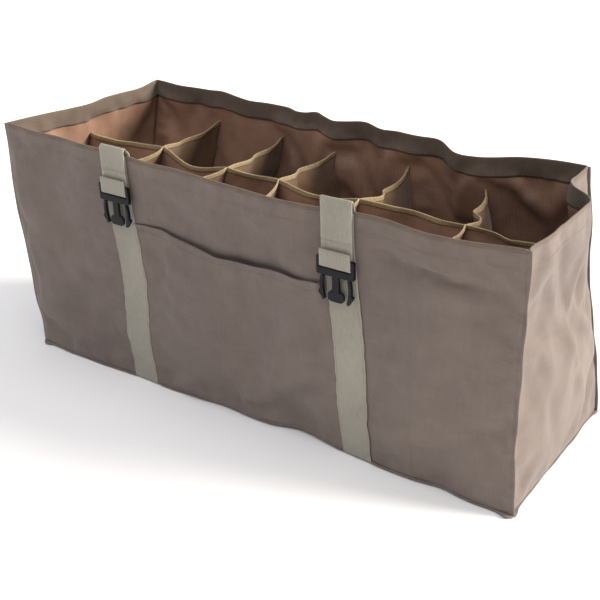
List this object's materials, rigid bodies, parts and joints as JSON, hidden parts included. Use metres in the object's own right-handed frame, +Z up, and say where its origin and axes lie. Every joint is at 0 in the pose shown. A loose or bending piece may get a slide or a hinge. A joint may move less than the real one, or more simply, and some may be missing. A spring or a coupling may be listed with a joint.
{
  "type": "slotted decoy bag",
  "caption": "Open-topped fabric carry bag divided into slots for duck decoys, with a front pocket, webbing straps and side-release buckle halves hanging over the rim.",
  "frame": {"origin": "middle of the footprint, at the underside of the straps that pass under the bag", "axes": "+X along the bag's length, -Y towards the front with the pocket, +Z up"},
  "size_m": [0.914, 0.3424, 0.4149],
  "materials": {
    "shell_fabric": "coated woven polyester, taupe brown",
    "hem_fabric": "coated woven polyester, turned hem",
    "divider_fabric": "coated side of the cloth, dark red-brown",
    "binding_tape": "woven binding tape, tan",
    "webbing": "woven polypropylene webbing, beige-grey",
    "buckle_plastic": "moulded acetal, black"
  },
  "bodies": {
    "bag": {"back_divider_1": "divider_fabric", "back_divider_2": "divider_fabric", "back_divider_3": "divider_fabric", "back_divider_4": "divider_fabric", "back_divider_5": "divider_fabric", "back_divider_tapes": "binding_tape", "back_hem": "hem_fabric", "back_panel": "shell_fabric", "bottom_panel": "shell_fabric", "bottom_seams": "shell_fabric", "center_divider": "divider_fabric", "center_divider_tape": "binding_tape", "corner_seams": "shell_fabric", "front_divider_1": "divider_fabric", "front_divider_2": "divider_fabric", "front_divider_3": "divider_fabric", "front_divider_4": "divider_fabric", "front_divider_5": "divider_fabric", "front_divider_tapes": "binding_tape", "front_hem": "hem_fabric", "front_panel": "shell_fabric", "left_back_tail_anchor": "webbing", "left_body_strap": "webbing", "left_end_hem": "hem_fabric", "left_end_panel": "shell_fabric", "left_front_tail_anchor": "webbing", "pocket_binding": "binding_tape", "pocket_panel": "shell_fabric", "right_back_tail_anchor": "webbing", "right_body_strap": "webbing", "right_end_hem": "hem_fabric", "right_end_panel": "shell_fabric", "right_front_tail_anchor": "webbing"},
    "left_front_tail": {"left_front_tail": "webbing"},
    "left_front_buckle": {"left_front_tail_loop": "webbing", "left_male_buckle": "buckle_plastic"},
    "left_male_right_prong": {"left_male_right_prong": "buckle_plastic"},
    "left_male_left_prong": {"left_male_left_prong": "buckle_plastic"},
    "right_front_tail": {"right_front_tail": "webbing"},
    "right_front_buckle": {"right_front_tail_loop": "webbing", "right_male_buckle": "buckle_plastic"},
    "right_male_right_prong": {"right_male_right_prong": "buckle_plastic"},
    "right_male_left_prong": {"right_male_left_prong": "buckle_plastic"},
    "left_back_tail": {"left_back_tail": "webbing"},
    "left_back_buckle": {"left_back_tail_loop": "webbing", "left_female_buckle": "buckle_plastic"},
    "right_back_tail": {"right_back_tail": "webbing"},
    "right_back_buckle": {"right_back_tail_loop": "webbing", "right_female_buckle": "buckle_plastic"}
  },
  "joints": [
    {"name": "left_front_tail_fold", "type": "hinge", "parent": "bag", "child": "left_front_tail", "pos_m": [-0.217, -0.1553, 0.414], "axis": [-1, 0, 0], "range_deg": [0, 180]},
    {"name": "left_front_buckle_fold", "type": "hinge", "parent": "left_front_tail", "child": "left_front_buckle", "pos_m": [-0.217, -0.1633, 0.3665], "axis": [-1, 0, 0], "range_deg": [0, 90]},
    {"name": "left_buckle_right_prong_squeeze", "type": "hinge", "parent": "left_front_buckle", "child": "left_male_right_prong", "pos_m": [-0.1955, -0.1662, 0.3234], "axis": [0, 1, 0], "range_deg": [0, 6], "stiffness_Nm_per_rad": 0.05},
    {"name": "left_buckle_left_prong_squeeze", "type": "hinge", "parent": "left_front_buckle", "child": "left_male_left_prong", "pos_m": [-0.2385, -0.1662, 0.3234], "axis": [0, -1, 0], "range_deg": [0, 6], "stiffness_Nm_per_rad": 0.05},
    {"name": "right_front_tail_fold", "type": "hinge", "parent": "bag", "child": "right_front_tail", "pos_m": [0.185, -0.1553, 0.414], "axis": [-1, 0, 0], "range_deg": [0, 180]},
    {"name": "right_front_buckle_fold", "type": "hinge", "parent": "right_front_tail", "child": "right_front_buckle", "pos_m": [0.185, -0.1633, 0.3415], "axis": [-1, 0, 0], "range_deg": [0, 90]},
    {"name": "right_buckle_right_prong_squeeze", "type": "hinge", "parent": "right_front_buckle", "child": "right_male_right_prong", "pos_m": [0.2065, -0.1662, 0.2984], "axis": [0, 1, 0], "range_deg": [0, 6], "stiffness_Nm_per_rad": 0.05},
    {"name": "right_buckle_left_prong_squeeze", "type": "hinge", "parent": "right_front_buckle", "child": "right_male_left_prong", "pos_m": [0.1635, -0.1662, 0.2984], "axis": [0, -1, 0], "range_deg": [0, 6], "stiffness_Nm_per_rad": 0.05},
    {"name": "left_back_tail_fold", "type": "hinge", "parent": "bag", "child": "left_back_tail", "pos_m": [-0.205, 0.1553, 0.372], "axis": [1, 0, 0], "range_deg": [0, 90]},
    {"name": "left_back_buckle_fold", "type": "hinge", "parent": "left_back_tail", "child": "left_back_buckle", "pos_m": [-0.205, 0.1633, 0.3445], "axis": [1, 0, 0], "range_deg": [0, 90]},
    {"name": "right_back_tail_fold", "type": "hinge", "parent": "bag", "child": "right_back_tail", "pos_m": [0.205, 0.1553, 0.372], "axis": [1, 0, 0], "range_deg": [0, 90]},
    {"name": "right_back_buckle_fold", "type": "hinge", "parent": "right_back_tail", "child": "right_back_buckle", "pos_m": [0.205, 0.1633, 0.3445], "axis": [1, 0, 0], "range_deg": [0, 90]}
  ],
  "couplings": [
    {"joint": "left_buckle_left_prong_squeeze", "follows": "left_buckle_right_prong_squeeze", "ratio": 1},
    {"joint": "right_buckle_left_prong_squeeze", "follows": "right_buckle_right_prong_squeeze", "ratio": 1}
  ]
}
